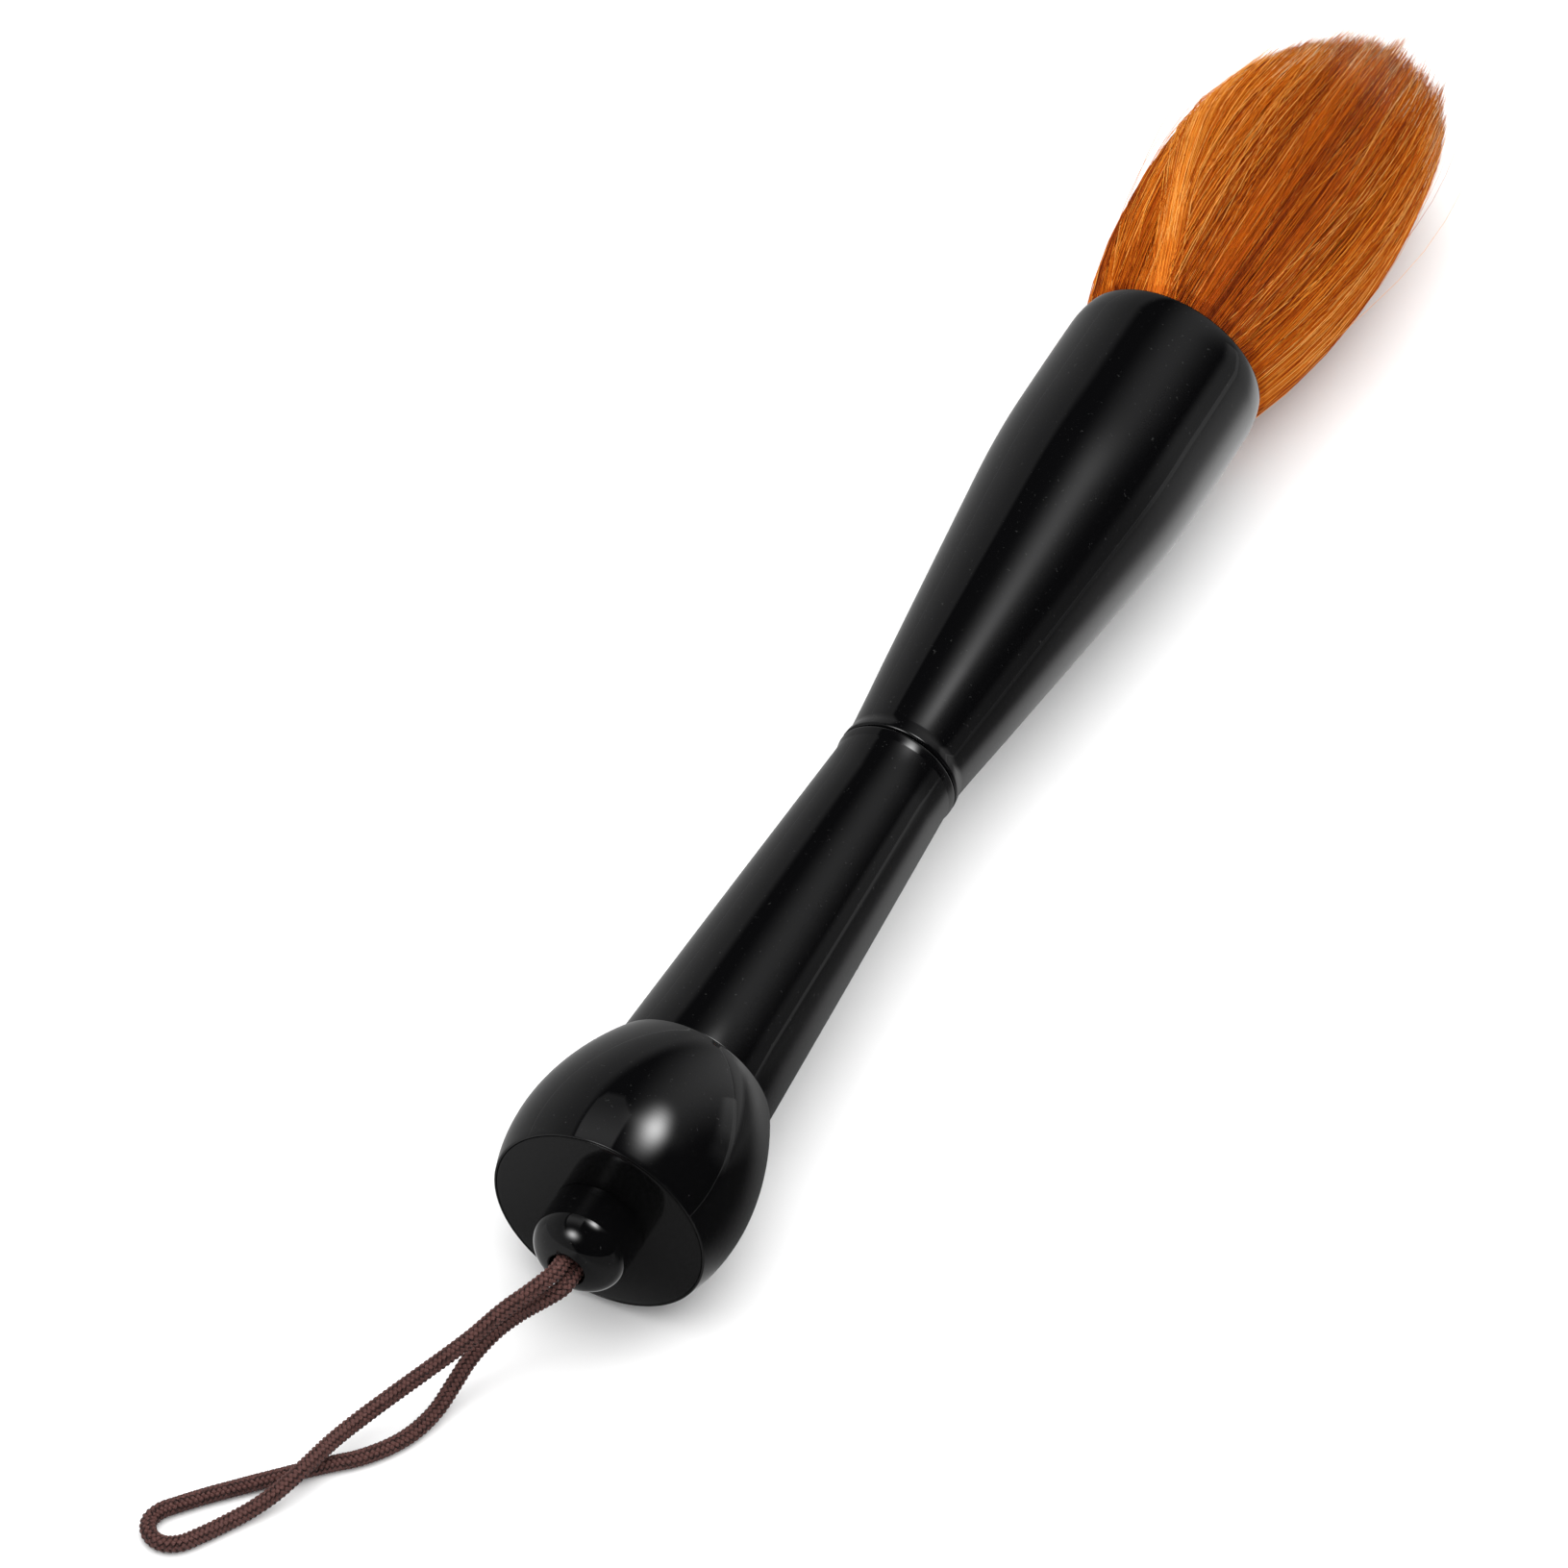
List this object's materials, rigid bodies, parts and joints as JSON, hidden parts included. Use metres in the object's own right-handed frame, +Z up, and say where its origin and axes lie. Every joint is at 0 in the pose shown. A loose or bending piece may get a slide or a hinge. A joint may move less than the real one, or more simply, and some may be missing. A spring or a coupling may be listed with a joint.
{
  "type": "calligraphy brush",
  "caption": "Large calligraphy brush: hair tuft in a trumpet-shaped cup, tapered handle, hollow bulb and a pierced peg with a braided hanging loop.",
  "frame": {"origin": "centre of the base of the brush's box as it lies on a table, the hanging cord left out", "axes": "+Y along the brush's axis from the butt to the tip of the tuft, +Z up from the table"},
  "size_m": [0.061, 0.3351, 0.0386],
  "materials": {
    "outer_hair": "orange-brown animal hair, satin, paler at the tips",
    "core_hair": "stiffer orange-brown animal hair",
    "binding_thread": "waxed off-white thread",
    "root_resin": "dark amber hardened resin",
    "black_gloss": "polished black",
    "black_satin": "satin black",
    "dowel_wood": "bare hardwood",
    "cord_braid": "dark brown braided cord"
  },
  "bodies": {
    "brush": {"hair_cover": "outer_hair", "hair_core": "core_hair", "root_binding": "binding_thread", "root_resin_disc": "root_resin", "head_cup": "black_gloss", "neck_dowel": "dowel_wood", "handle": "black_gloss", "bulb": "black_gloss", "end_disc": "black_satin", "hanging_peg": "black_gloss", "cord_knot": "cord_braid"},
    "hanging_loop": {"cord_loop": "cord_braid"}
  },
  "joints": [
    {"name": "loop_swing", "type": "hinge", "parent": "brush", "child": "hanging_loop", "pos_m": [0, -0.1364, 0.0193], "axis": [0, 0, 1], "range_deg": [-30, 60], "deforming": ["cord_loop"]}
  ]
}
